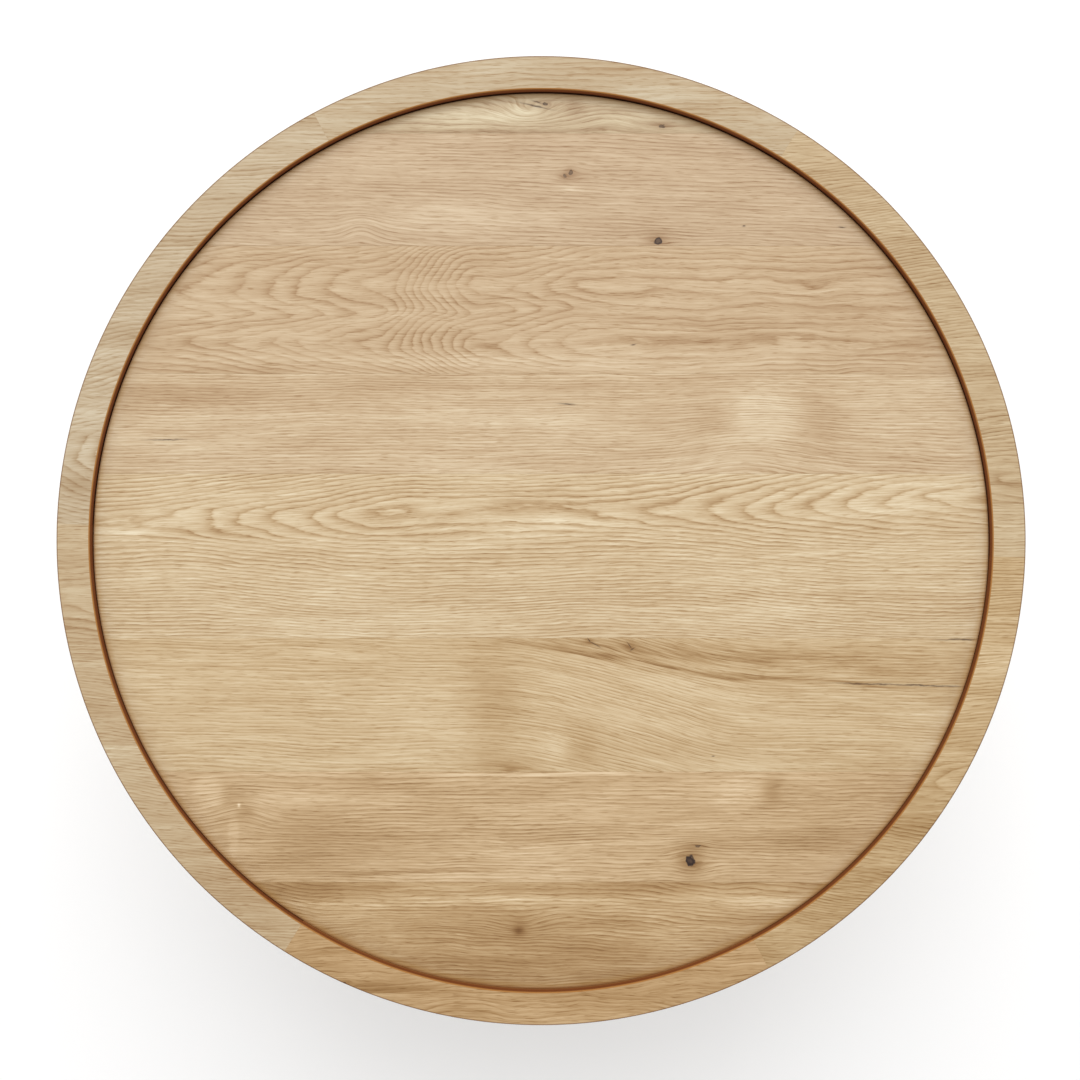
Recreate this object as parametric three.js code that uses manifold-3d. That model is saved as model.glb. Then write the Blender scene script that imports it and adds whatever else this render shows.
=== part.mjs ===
// Round pedestal table in solid oak, with a raised rim round the top.
// The top is a panel of edge-glued boards, let into a ring of six sawn segments whose ledge carries it.
// A coopered column stands on a round plinth, and one tie rod clamps plinth, column and steel top plate together.
// A steel ballast plate lies under the plinth, and four screw glides level the table.
// Millimetres, +Z up, +X along the grain of the boards. The origin is on the floor, under the column's centre.
import * as THREE from "three";
import { mergeVertices } from "three/addons/utils/BufferGeometryUtils.js";
import Module from "manifold-3d";

const wasm = await Module();
wasm.setup();

// ---------------------------------------------------------------- driving dimensions
const TABLE_HEIGHT = 750;
const TOP_RADIUS = 500;

const RIM_WIDTH = 34;
const RIM_DEPTH = 38; // height of the ring from its underside to its top face
const RIM_RAISE = 12; // how far the rim stands above the panel
const LEDGE_WIDTH = 16;
const LEDGE_THICKNESS = 6;
const RIM_SEGMENTS = 6;
const RIM_FIRST_JOINT = 58; // degrees from +X to the first radial joint

const RIM_EASE = { bottom: 3, outer: 2, inner: 1 }; // bevels on the ring's edges

const PANEL_GAP = 0.8; // shadow gap between the panel and the rim
const PANEL_JOINTS = [424, 307, 174, 70, -101, -240, -355]; // glue lines across Y, from the back to the front

const BATTEN = { x: 270, length: 580, width: 60, thickness: 22, bevel: 14, ease: 3, endFace: 4 };
const BATTEN_HOLE = { y: 215, radius: 3.2, counterbore: 6, counterboreDepth: 8 };
const PAN_SCREW = { shank: 2.5, head: 4.8, headHeight: 3.4 }; // radii and height
const SCREW_DEPTH = 14; // of the wood screws, in the panel

const PLATE_RADIUS = 190;
const PLATE_THICKNESS = 6;
const PLATE_SCREWS = 6;
const PLATE_SCREW_CIRCLE = 160; // radius
const HEX_SCREW = { shank: 4, hole: 4.6, acrossFlats: 13, headHeight: 5.5 };
const BOSS = { radius: 15, length: 30, bore: 8.4, roof: 2 }; // the bore stops short of the plate's top

const COLUMN_RADIUS = 80;
const COLUMN_BORE_FLAT = 50; // centre to the flat inside of a stave
const COLUMN_STAVES = 8;
const STAVE_VEE = { depth: 1.2, turn: 0.9 }; // between two staves: depth, and degrees taken from each stave
const STAVE_FACETS = 8;
const SPIGOT = { radius: 49.6, height: 40, clearance: 1 };

const PLINTH_RADIUS = 300;
const PLINTH_THICKNESS = 40;
const PLINTH_ROUND = 12; // radius of its top edge
const PLINTH_CHAMFER = 4;
const PLINTH_JOINTS = [110, -35, -180];
const POCKET = { radius: 25, depth: 20 }; // for the tie rod's nut

const BALLAST = { radius: 280, thickness: 8, bore: 28, glideHole: 15, screwHole: 3 };
const BALLAST_SCREW_CIRCLE = 200; // radius
const BALLAST_SCREWS = 3;
const BALLAST_SCREW = { headHeight: 2.6, depth: 15, pilot: 16 }; // depths in the plinth

const ROD_RADIUS = 8;
const ROD_END = 2; // past the nut below, and short of the top plate above
const NUT = { acrossFlats: 24, height: 13 };
const WASHER = { radius: 15, thickness: 3, play: 0.6 };

const GLIDES = 4;
const GLIDE_CIRCLE = 240; // radius
const PAD = { radius: 22, height: 8, footBevel: 1.5, shoulder: 5, shoulderInset: 1, crown: 9 };
const PAD_PLAY = 0.4; // round the stem's head
const PLINTH_CLEARANCE = 4; // from the top of the pads to the ballast plate
const STEM_RADIUS = 5; // M10
const STEM_HEX = 14; // across flats
const STEM_LENGTH = 29; // thread above the hexagon
const STEM_HEAD = { radius: 3.9, neck: 3.2, bottom: 3.4, height: 1.2 }; // the end that is held in the pad
const STEM_HEX_LIFT = 1; // of the hexagon over the pad
const TEE_NUT = { flange: 13, flangeThickness: 1.6, barrel: 6.5, barrelLength: 14, bore: 5.25, socket: 28 };

const FIT_GAP = 0.3; // between a piece and the hole that it sits in
const OVERRUN = 1; // how far a cutting shape runs past a face, or a joined one into its neighbour
const ARC_STEP = 3; // degrees per facet on the large rounds
const PLATE_SIDES = 360 / ARC_STEP; // on the two steel plates
const SPIGOT_SIDES = 48;
const BORE_SIDES = 32; // on the wide bores and the boss
const ROUND_SIDES = 24;
const FINE_SIDES = 12; // on screws and their holes
const PLINTH_ROUND_STEPS = 4;

// ---------------------------------------------------------------- levels worked out from them
const PLINTH_BOTTOM = PAD.height + PLINTH_CLEARANCE + BALLAST.thickness;
const PLINTH_TOP = PLINTH_BOTTOM + PLINTH_THICKNESS;
const RIM_BOTTOM = TABLE_HEIGHT - RIM_DEPTH;
const PANEL_BOTTOM = RIM_BOTTOM + LEDGE_THICKNESS;
const PANEL_TOP = TABLE_HEIGHT - RIM_RAISE;
const COLUMN_TOP = PANEL_BOTTOM - PLATE_THICKNESS;
const RIM_INNER = TOP_RADIUS - RIM_WIDTH;
const PANEL_RADIUS = RIM_INNER - PANEL_GAP;

// ---------------------------------------------------------------- finishes
function finish(color, roughness, metalness = 0) {
  return new THREE.MeshStandardMaterial({ color, roughness, metalness });
}
const OAK = finish(0xcfb088, 0.55);
const OAK_CORE = finish(0xc7a67a, 0.7);
const BLACK_STEEL = finish(0x23242a, 0.5, 0.4);
const ZINC = finish(0xb4b7bb, 0.35, 0.9);
const NYLON = finish(0x1d1d1f, 0.6);

// ---------------------------------------------------------------- closed shapes
const radians = THREE.MathUtils.degToRad;

function polar(radius, degrees) {
  return [radius * Math.cos(radians(degrees)), radius * Math.sin(radians(degrees))];
}

// Points evenly spaced on a circle.
function around(count, radius, first = 0) {
  return Array.from({ length: count }, (_, i) => polar(radius, first + (360 * i) / count));
}

function geometryOf(points, triangles) {
  const geometry = new THREE.BufferGeometry();
  geometry.setAttribute("position", new THREE.Float32BufferAttribute(points.flat(), 3));
  geometry.setIndex(triangles.flat());
  return geometry;
}

// The triangles of a flat outline given anticlockwise.
function fill(outline) {
  return THREE.ShapeUtils.triangulateShape(outline.map(([u, v]) => new THREE.Vector2(u, v)), []);
}

// Outlines of equal length, anticlockwise from above, joined from the lowest level to the highest.
function loft(levels) {
  const count = levels[0].outline.length;
  const points = levels.flatMap(({ z, outline }) => outline.map(([x, y]) => [x, y, z]));
  const last = (levels.length - 1) * count;
  const triangles = fill(levels[0].outline).map(([a, b, c]) => [c, b, a]);
  for (const [a, b, c] of fill(levels.at(-1).outline)) triangles.push([last + a, last + b, last + c]);
  for (let k = 0; k < levels.length - 1; k++)
    for (let i = 0; i < count; i++) {
      const [low, lowNext] = [k * count + i, k * count + ((i + 1) % count)];
      triangles.push([low, lowNext, lowNext + count], [low, lowNext + count, low + count]);
    }
  return geometryOf(points, triangles);
}

// A closed [radius, z] profile, anticlockwise, carried round the Z axis between two angles.
function sector(profile, from, to) {
  const steps = Math.ceil((to - from) / ARC_STEP - 1e-6);
  const count = profile.length;
  const points = [];
  for (let j = 0; j <= steps; j++) {
    // An end that two sectors share is worked out in the same way for both.
    const angle = j === steps ? to % 360 : from + ((to - from) * j) / steps;
    for (const [r, z] of profile) points.push([...polar(r, angle), z]);
  }
  const triangles = [];
  for (let j = 0; j < steps; j++)
    for (let i = 0; i < count; i++) {
      const next = (i + 1) % count;
      const [a, b, c, d] = [j * count + i, (j + 1) * count + i, (j + 1) * count + next, j * count + next];
      triangles.push([a, b, c], [a, c, d]);
    }
  for (const [a, b, c] of fill(profile)) {
    triangles.push([a, b, c]);
    triangles.push([steps * count + c, steps * count + b, steps * count + a]);
  }
  return geometryOf(points, triangles);
}

// A strip of a disc between two lines across Y. The outermost strips end at the disc's own edge.
function stripOutline(radius, low, high, widest = radius) {
  const start = Math.asin(Math.max(-1, low / radius));
  const end = Math.asin(Math.min(1, high / radius));
  const span = Math.asin(Math.min(1, high / widest)) - Math.asin(Math.max(-1, low / widest));
  const steps = Math.max(2, Math.ceil(THREE.MathUtils.radToDeg(span) / ARC_STEP));
  const onEdge = (angle, y) => [radius * Math.cos(angle), y];
  const right = [];
  for (let j = 0; j <= steps; j++) {
    const angle = start + ((end - start) * j) / steps;
    const inner = radius * Math.sin(angle);
    const y = j === 0 ? Math.max(low, -radius) : j === steps ? Math.min(high, radius) : inner;
    right.push(onEdge(angle, y));
  }
  const left = right.map(([x, y]) => [-x, y]).reverse();
  if (high >= radius) left.shift();
  if (low <= -radius) left.pop();
  return [...right, ...left];
}

// A cylinder or prism between two heights.
function post(radius, bottom, top, x = 0, y = 0, sides = ROUND_SIDES) {
  const outline = around(sides, radius).map(([u, v]) => [x + u, y + v]);
  return loft([
    { z: bottom, outline },
    { z: top, outline },
  ]);
}

function hexagon(acrossFlats, bottom, top, x = 0, y = 0) {
  return post(acrossFlats / Math.sqrt(3), bottom, top, x, y, 6);
}

// ---------------------------------------------------------------- cutting and joining
function solidOf(geometry) {
  const merged = mergeVertices(geometry, 1e-4);
  const mesh = new wasm.Mesh({
    numProp: 3,
    vertProperties: merged.attributes.position.array,
    triVerts: new Uint32Array(merged.index.array),
  });
  return new wasm.Manifold(mesh);
}

function geometryFrom(solid) {
  const mesh = solid.getMesh();
  const geometry = new THREE.BufferGeometry();
  geometry.setAttribute("position", new THREE.BufferAttribute(mesh.vertProperties, mesh.numProp));
  geometry.setIndex(new THREE.BufferAttribute(mesh.triVerts, 1));
  return geometry;
}

function cut(geometry, ...holes) {
  return geometryFrom(holes.reduce((solid, hole) => solid.subtract(solidOf(hole)), solidOf(geometry)));
}

function join(geometry, ...others) {
  return geometryFrom(others.reduce((solid, other) => solid.add(solidOf(other)), solidOf(geometry)));
}

// ---------------------------------------------------------------- the assembly
const table = new THREE.Group();

function place(name, geometry, material) {
  const mesh = new THREE.Mesh(geometry, material);
  mesh.name = name;
  table.add(mesh);
}

const plateScrews = around(PLATE_SCREWS, PLATE_SCREW_CIRCLE);
const battenScrews = [1, -1].flatMap((side) => [1, -1].map((end) => [side * BATTEN.x, end * BATTEN_HOLE.y]));
const ballastScrews = around(BALLAST_SCREWS, BALLAST_SCREW_CIRCLE);
const glides = around(GLIDES, GLIDE_CIRCLE, 45);

// Rim: an L-shaped section in six segments, butted and glued along radial joints.
function rimSegments() {
  const profile = [
    [RIM_INNER - LEDGE_WIDTH, RIM_BOTTOM],
    [TOP_RADIUS - RIM_EASE.bottom, RIM_BOTTOM],
    [TOP_RADIUS, RIM_BOTTOM + RIM_EASE.bottom],
    [TOP_RADIUS, TABLE_HEIGHT - RIM_EASE.outer],
    [TOP_RADIUS - RIM_EASE.outer, TABLE_HEIGHT],
    [RIM_INNER + RIM_EASE.inner, TABLE_HEIGHT],
    [RIM_INNER, TABLE_HEIGHT - RIM_EASE.inner],
    [RIM_INNER, PANEL_BOTTOM],
    [RIM_INNER - LEDGE_WIDTH, PANEL_BOTTOM],
  ];
  const span = 360 / RIM_SEGMENTS;
  for (let i = 0; i < RIM_SEGMENTS; i++) {
    const from = RIM_FIRST_JOINT + i * span;
    const start = from % 360;
    place(`rim_segment_${i + 1}`, sector(profile, start, start + span), OAK);
  }
}

// Panel: eight boards edge to edge, drilled from below for the plate's and battens' screws.
function panelBoards() {
  const edges = [Infinity, ...PANEL_JOINTS, -Infinity];
  for (let i = 0; i < edges.length - 1; i++) {
    const [high, low] = [edges[i], edges[i + 1]];
    const outline = stripOutline(PANEL_RADIUS, low, high);
    let board = loft([
      { z: PANEL_BOTTOM, outline },
      { z: PANEL_TOP, outline },
    ]);
    const inBoard = ([, y]) => y > low && y < high;
    const bottom = PANEL_BOTTOM - OVERRUN;
    const top = PANEL_BOTTOM + SCREW_DEPTH + 1;
    const pilot = (shank) => ([x, y]) => post(shank + FIT_GAP, bottom, top, x, y, FINE_SIDES);
    const holes = [
      ...plateScrews.filter(inBoard).map(pilot(HEX_SCREW.shank)),
      ...battenScrews.filter(inBoard).map(pilot(PAN_SCREW.shank)),
    ];
    if (holes.length) board = cut(board, ...holes);
    place(`panel_board_${i + 1}`, board, OAK);
  }
}

// Battens: two bars across the grain that keep the panel flat, each held by two screws in counterbored holes.
function battens() {
  const low = PANEL_BOTTOM - BATTEN.thickness;
  const half = BATTEN.width / 2;
  const endOf = (setBack) => BATTEN.length / 2 - setBack;
  [1, -1].forEach((side, i) => {
    const x = side * BATTEN.x;
    const barOutline = (setBack, inset) => [
      [x - half + inset, -endOf(setBack)],
      [x + half - inset, -endOf(setBack)],
      [x + half - inset, endOf(setBack)],
      [x - half + inset, endOf(setBack)],
    ];
    const bar = loft([
      { z: low, outline: barOutline(BATTEN.bevel, BATTEN.ease) },
      { z: low + BATTEN.ease, outline: barOutline(BATTEN.bevel - BATTEN.ease, 0) },
      { z: PANEL_BOTTOM - BATTEN.endFace, outline: barOutline(0, 0) },
      { z: PANEL_BOTTOM, outline: barOutline(0, 0) },
    ]);
    const { radius, counterbore, counterboreDepth } = BATTEN_HOLE;
    const holes = [1, -1].flatMap((end) => [
      post(radius, low - OVERRUN, PANEL_BOTTOM + OVERRUN, x, end * BATTEN_HOLE.y, FINE_SIDES),
      post(counterbore, low - OVERRUN, low + counterboreDepth, x, end * BATTEN_HOLE.y, FINE_SIDES),
    ]);
    place(`batten_${i + 1}`, cut(bar, ...holes), OAK);
  });
  battenScrews.forEach(([x, y], i) => {
    const seat = low + BATTEN_HOLE.counterboreDepth;
    const screw = join(
      post(PAN_SCREW.head, seat - PAN_SCREW.headHeight, seat, x, y, FINE_SIDES),
      post(PAN_SCREW.shank, seat - OVERRUN, PANEL_BOTTOM + SCREW_DEPTH, x, y, FINE_SIDES),
    );
    place(`batten_screw_${i + 1}`, screw, ZINC);
  });
}

// Top plate: a steel disc with a tapped boss for the tie rod, held to the panel by six hexagon-headed wood screws.
function topPlate() {
  const plate = join(
    post(PLATE_RADIUS, COLUMN_TOP, PANEL_BOTTOM, 0, 0, PLATE_SIDES),
    post(BOSS.radius, COLUMN_TOP - BOSS.length, COLUMN_TOP + OVERRUN, 0, 0, BORE_SIDES),
  );
  const [under, over] = [COLUMN_TOP - OVERRUN, PANEL_BOTTOM + OVERRUN];
  const holes = plateScrews.map(([x, y]) => post(HEX_SCREW.hole, under, over, x, y, FINE_SIDES));
  const bore = post(BOSS.bore, COLUMN_TOP - BOSS.length - OVERRUN, PANEL_BOTTOM - BOSS.roof);
  place("top_plate", cut(plate, bore, ...holes), BLACK_STEEL);
  plateScrews.forEach(([x, y], i) => {
    const screw = join(
      hexagon(HEX_SCREW.acrossFlats, COLUMN_TOP - HEX_SCREW.headHeight, COLUMN_TOP, x, y),
      post(HEX_SCREW.shank, under, PANEL_BOTTOM + SCREW_DEPTH, x, y, FINE_SIDES),
    );
    place(`plate_screw_${i + 1}`, screw, ZINC);
  });
}

// Column: eight staves, flat inside and turned outside, with a fine vee along each joint.
function column() {
  const span = 360 / COLUMN_STAVES;
  const inner = COLUMN_BORE_FLAT / Math.cos(radians(span / 2));
  const valley = COLUMN_RADIUS - STAVE_VEE.depth;
  const arc = span - 2 * STAVE_VEE.turn;
  for (let i = 0; i < COLUMN_STAVES; i++) {
    const [from, to] = [i * span, ((i + 1) % COLUMN_STAVES) * span];
    const outline = [polar(inner, from), polar(valley, from)];
    for (let j = 0; j <= STAVE_FACETS; j++) {
      outline.push(polar(COLUMN_RADIUS, from + STAVE_VEE.turn + (arc * j) / STAVE_FACETS));
    }
    outline.push(polar(valley, to), polar(inner, to));
    const stave = loft([
      { z: PLINTH_TOP, outline },
      { z: COLUMN_TOP, outline },
    ]);
    place(`column_stave_${i + 1}`, stave, OAK);
  }
}

// Spigots: plywood discs in the column's ends. The upper one clears the plate's boss.
function spigots() {
  const spigot = (bottom, bore) =>
    cut(
      post(SPIGOT.radius, bottom, bottom + SPIGOT.height, 0, 0, SPIGOT_SIDES),
      post(bore + SPIGOT.clearance, bottom - OVERRUN, bottom + SPIGOT.height + OVERRUN),
    );
  place("spigot_lower", spigot(PLINTH_TOP, ROD_RADIUS), OAK_CORE);
  place("spigot_upper", spigot(COLUMN_TOP - SPIGOT.height, BOSS.radius), OAK_CORE);
}

// Tie rod: from the boss under the panel down to a nut in the plinth's pocket.
function tieRod() {
  const pocketRoof = PLINTH_BOTTOM + POCKET.depth;
  const nutTop = pocketRoof - WASHER.thickness;
  const nutBottom = nutTop - NUT.height;
  place("tie_rod", post(ROD_RADIUS, nutBottom - ROD_END, COLUMN_TOP - ROD_END), ZINC);
  const washerHole = post(ROD_RADIUS + WASHER.play, nutTop - OVERRUN, pocketRoof + OVERRUN);
  place("tie_rod_washer", cut(post(WASHER.radius, nutTop, pocketRoof), washerHole), ZINC);
  const nutHole = post(ROD_RADIUS + FIT_GAP, nutBottom - OVERRUN, nutTop + OVERRUN);
  place("tie_rod_nut", cut(hexagon(NUT.acrossFlats, nutBottom, nutTop), nutHole), ZINC);
}

// Plinth: four boards edge to edge, with a rounded top edge, bored for the tie rod, the glides and the ballast
// plate's screws.
function plinthBoards() {
  const edges = [Infinity, ...PLINTH_JOINTS, -Infinity];
  const levels = [
    { z: PLINTH_BOTTOM, radius: PLINTH_RADIUS - PLINTH_CHAMFER },
    { z: PLINTH_BOTTOM + PLINTH_CHAMFER, radius: PLINTH_RADIUS },
  ];
  for (let k = 0; k <= PLINTH_ROUND_STEPS; k++) {
    const angle = (Math.PI / 2) * (k / PLINTH_ROUND_STEPS);
    levels.push({
      z: PLINTH_TOP - PLINTH_ROUND * (1 - Math.sin(angle)),
      radius: PLINTH_RADIUS - PLINTH_ROUND * (1 - Math.cos(angle)),
    });
  }
  const centre = [0, 0];
  for (let i = 0; i < edges.length - 1; i++) {
    const [high, low] = [edges[i], edges[i + 1]];
    const board = loft(
      levels.map(({ z, radius }) => ({ z, outline: stripOutline(radius, low, high, PLINTH_RADIUS) })),
    );
    const inBoard = ([, y]) => y > low && y < high;
    const under = PLINTH_BOTTOM - OVERRUN;
    const socket = ([x, y]) => post(TEE_NUT.barrel + FIT_GAP, under, PLINTH_BOTTOM + TEE_NUT.socket, x, y);
    const pilotTop = PLINTH_BOTTOM + BALLAST_SCREW.pilot;
    const pilot = ([x, y]) => post(PAN_SCREW.shank + FIT_GAP, under, pilotTop, x, y, FINE_SIDES);
    const holes = [
      ...[centre].filter(inBoard).flatMap(() => [
        post(POCKET.radius, under, PLINTH_BOTTOM + POCKET.depth, 0, 0, BORE_SIDES),
        post(ROD_RADIUS + SPIGOT.clearance, under, PLINTH_TOP + OVERRUN),
      ]),
      ...glides.filter(inBoard).map(socket),
      ...ballastScrews.filter(inBoard).map(pilot),
    ];
    place(`plinth_board_${i + 1}`, holes.length ? cut(board, ...holes) : board, OAK);
  }
}

// Ballast: a steel disc screwed under the plinth, open at its centre for the nut and round each glide.
function ballast() {
  const bottom = PLINTH_BOTTOM - BALLAST.thickness;
  const hole = (radius, x, y, sides) => post(radius, bottom - OVERRUN, PLINTH_BOTTOM + OVERRUN, x, y, sides);
  const holes = [
    hole(BALLAST.bore, 0, 0, BORE_SIDES),
    ...glides.map(([x, y]) => hole(BALLAST.glideHole, x, y, ROUND_SIDES)),
    ...ballastScrews.map(([x, y]) => hole(BALLAST.screwHole, x, y, FINE_SIDES)),
  ];
  const disc = post(BALLAST.radius, bottom, PLINTH_BOTTOM, 0, 0, PLATE_SIDES);
  place("ballast_plate", cut(disc, ...holes), BLACK_STEEL);
  ballastScrews.forEach(([x, y], i) => {
    const screw = join(
      post(PAN_SCREW.head, bottom - BALLAST_SCREW.headHeight, bottom, x, y, FINE_SIDES),
      post(PAN_SCREW.shank, bottom - OVERRUN, PLINTH_BOTTOM + BALLAST_SCREW.depth, x, y, FINE_SIDES),
    );
    place(`ballast_screw_${i + 1}`, screw, ZINC);
  });
}

// Glides: a nylon pad, a screw stem whose headed neck turns in the pad, and a tee nut driven into the plinth.
// Screwed home, the stem's hexagon comes up against the tee nut.
function screwGlides() {
  const hexBottom = PAD.height + STEM_HEX_LIFT;
  const flangeBottom = PLINTH_BOTTOM - TEE_NUT.flangeThickness;
  const hexTop = flangeBottom - FIT_GAP;
  glides.forEach(([x, y], i) => {
    const padOutline = (radius) => around(ROUND_SIDES, radius).map(([u, v]) => [x + u, y + v]);
    const pad = loft([
      { z: 0, outline: padOutline(PAD.radius - PAD.footBevel) },
      { z: PAD.footBevel, outline: padOutline(PAD.radius) },
      { z: PAD.shoulder, outline: padOutline(PAD.radius - PAD.shoulderInset) },
      { z: PAD.height, outline: padOutline(PAD.crown) },
    ]);
    const headTop = STEM_HEAD.bottom + STEM_HEAD.height;
    const socketFloor = STEM_HEAD.bottom - PAD_PLAY;
    const socket = join(
      post(STEM_HEAD.neck + PAD_PLAY, socketFloor, PAD.height + OVERRUN, x, y),
      post(STEM_HEAD.radius + PAD_PLAY, socketFloor, headTop + PAD_PLAY, x, y),
    );
    place(`glide_pad_${i + 1}`, cut(pad, socket), NYLON);

    const stem = join(
      post(STEM_HEAD.radius, STEM_HEAD.bottom, headTop, x, y),
      post(STEM_HEAD.neck, STEM_HEAD.bottom, hexBottom + OVERRUN, x, y),
      hexagon(STEM_HEX, hexBottom, hexTop, x, y),
      post(STEM_RADIUS, hexTop - OVERRUN, hexTop + STEM_LENGTH, x, y),
    );
    place(`glide_stem_${i + 1}`, stem, ZINC);

    const teeNut = join(
      post(TEE_NUT.flange, flangeBottom, PLINTH_BOTTOM, x, y),
      post(TEE_NUT.barrel, PLINTH_BOTTOM - OVERRUN, PLINTH_BOTTOM + TEE_NUT.barrelLength, x, y),
    );
    const boreTop = PLINTH_BOTTOM + TEE_NUT.barrelLength + OVERRUN;
    const bore = post(TEE_NUT.bore, flangeBottom - OVERRUN, boreTop, x, y);
    place(`glide_tee_nut_${i + 1}`, cut(teeNut, bore), ZINC);
  });
}

rimSegments();
panelBoards();
battens();
topPlate();
column();
spigots();
tieRod();
plinthBoards();
ballast();
screwGlides();

export default table;
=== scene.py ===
"""Round pedestal table in solid oak: a panel of boards inside a raised rim, on a coopered column and plinth.

Everything is in metres in the model's own frame, +Z up, with the grain of the boards along X. Figures that
describe the wood itself, such as where a knot lies, are in millimetres, with +X right and +Y at the back.
"""
import math

import bpy
import numpy as np
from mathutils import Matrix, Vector
from mathutils.geometry import tessellate_polygon


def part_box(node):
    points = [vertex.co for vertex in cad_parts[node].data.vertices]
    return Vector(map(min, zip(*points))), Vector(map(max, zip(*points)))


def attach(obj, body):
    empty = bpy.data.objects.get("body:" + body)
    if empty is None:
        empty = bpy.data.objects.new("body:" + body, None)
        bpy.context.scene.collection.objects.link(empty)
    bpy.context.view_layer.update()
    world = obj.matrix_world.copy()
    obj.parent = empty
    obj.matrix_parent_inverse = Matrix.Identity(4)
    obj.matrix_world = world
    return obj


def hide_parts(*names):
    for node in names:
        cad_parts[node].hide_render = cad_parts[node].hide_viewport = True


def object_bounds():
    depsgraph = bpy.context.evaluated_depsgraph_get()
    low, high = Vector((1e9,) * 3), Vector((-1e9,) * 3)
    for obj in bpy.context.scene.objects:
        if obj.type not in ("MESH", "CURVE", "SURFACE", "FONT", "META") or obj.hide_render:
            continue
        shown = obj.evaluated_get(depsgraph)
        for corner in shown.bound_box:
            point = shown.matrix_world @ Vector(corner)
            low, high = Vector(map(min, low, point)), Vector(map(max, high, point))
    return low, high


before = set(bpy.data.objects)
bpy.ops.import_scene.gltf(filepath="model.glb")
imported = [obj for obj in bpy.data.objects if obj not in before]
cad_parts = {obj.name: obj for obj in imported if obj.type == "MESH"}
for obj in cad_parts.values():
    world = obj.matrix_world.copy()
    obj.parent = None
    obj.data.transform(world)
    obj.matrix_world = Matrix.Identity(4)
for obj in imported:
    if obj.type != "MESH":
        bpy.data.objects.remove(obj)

cad_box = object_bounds()
MM = 0.001


# -------- panel
# Eight boards of knotty oak, planed, glued edge to edge and sanded flush, then lacquered clear and matt.
# They lie on the rim's ledge, with a shadow gap all round, and each keeps the figure of its own plank: the
# flames of flat-sawn wood, the even lines of rift-sawn wood, knots, mineral streaks and small checks.

class Field:
    """A number that varies over a surface: a node's output, written about as arithmetic."""

    def __init__(self, tree, socket):
        self.tree, self.socket = tree, socket

    def maths(self, kind, *others):
        node = self.tree.nodes.new("ShaderNodeMath")
        node.operation = kind
        for socket, value in zip(node.inputs, (self, *others)):
            feed(socket, value)
        return Field(self.tree, node.outputs[0])

    def __add__(self, other):
        return self.maths("ADD", other)

    def __sub__(self, other):
        return self.maths("SUBTRACT", other)

    def __mul__(self, other):
        return self.maths("MULTIPLY", other)

    def __pow__(self, other):
        return self.maths("POWER", other)

    def __neg__(self):
        return self.maths("MULTIPLY", -1)

    def step(self, start, end):
        """A smooth rise from 0 where the field is start to 1 where it is end."""
        node = self.tree.nodes.new("ShaderNodeMapRange")
        node.interpolation_type = "SMOOTHSTEP"
        for socket, value in zip(node.inputs, (self, start, end)):
            feed(socket, value)
        return Field(self.tree, node.outputs[0])


def feed(socket, value):
    """Joins a socket to a field's output, or sets it to a number or a colour."""
    if isinstance(value, Field):
        value.tree.links.new(value.socket, socket)
    else:
        socket.default_value = value


def vector(tree, kind, *values, out=0):
    """One step of vector arithmetic."""
    node = tree.nodes.new("ShaderNodeVectorMath")
    node.operation = kind
    for socket, value in zip(node.inputs, values):
        feed(socket, value)
    return Field(tree, node.outputs[out])


def combined(tree, x, y, z):
    node = tree.nodes.new("ShaderNodeCombineXYZ")
    for socket, value in zip(node.inputs, (x, y, z)):
        feed(socket, value)
    return Field(tree, node.outputs[0])


def mixed(tree, share, first, second):
    """The first colour where share is 0, and the second where it is 1."""
    node = tree.nodes.new("ShaderNodeMix")
    node.data_type = "RGBA"
    for index, value in ((0, share), (6, first), (7, second)):
        feed(node.inputs[index], value)
    return Field(tree, node.outputs[2])


def noise(tree, place, cell, seed=0.0, detail=2.0, roughness=0.5):
    """Smooth noise from -0.5 to 0.5, about one swell to each cell = (along, across, deep), in millimetres."""
    scaled = vector(tree, "MULTIPLY_ADD", place, [1 / c for c in cell], (seed * 17.3, seed * 7.1, seed * 3.7))
    node = tree.nodes.new("ShaderNodeTexNoise")
    node.inputs["Scale"].default_value = 1.0
    node.inputs["Detail"].default_value = detail
    node.inputs["Roughness"].default_value = roughness
    feed(node.inputs["Vector"], scaled)
    return Field(tree, node.outputs[0]) - 0.5


def from_centre(tree, place, x, y, half_x, half_y):
    """How far a place is from a centre, along and across, in half-widths."""
    return vector(tree, "MULTIPLY_ADD", place, (1 / half_x, 1 / half_y, 0), (-x / half_x, -y / half_y, 0))


def spot(tree, place, x, y, half_x, half_y):
    """A soft oval spot: e to the power of minus the squared distance from its centre, in half-widths."""
    away = from_centre(tree, place, x, y, half_x, half_y)
    return (-vector(tree, "DOT_PRODUCT", away, away, out=1)).maths("EXPONENT")


def surface(tree, scale=1 / MM):
    """Where a point of the piece is, in millimetres, or with a scale of 1 in metres."""
    place = vector(tree, "SCALE", Field(tree, tree.nodes.new("ShaderNodeTexCoord").outputs["Object"]))
    place.socket.node.inputs["Scale"].default_value = scale
    return place


def axes(tree, place):
    """The X, Y and Z of a place."""
    split = tree.nodes.new("ShaderNodeSeparateXYZ")
    feed(split.inputs[0], place)
    return [Field(tree, socket) for socket in split.outputs]


def material(name):
    """A new material, with its node tree and its Principled shader."""
    made = bpy.data.materials.new(name)
    made.use_nodes = True
    return made, made.node_tree, made.node_tree.nodes["Principled BSDF"]


def relief(tree, shader, height):
    """Gives the surface a relief. height is in millimetres."""
    node = tree.nodes.new("ShaderNodeBump")
    node.inputs["Distance"].default_value = MM
    feed(node.inputs["Height"], height)
    feed(shader.inputs["Normal"], Field(tree, node.outputs[0]))


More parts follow.
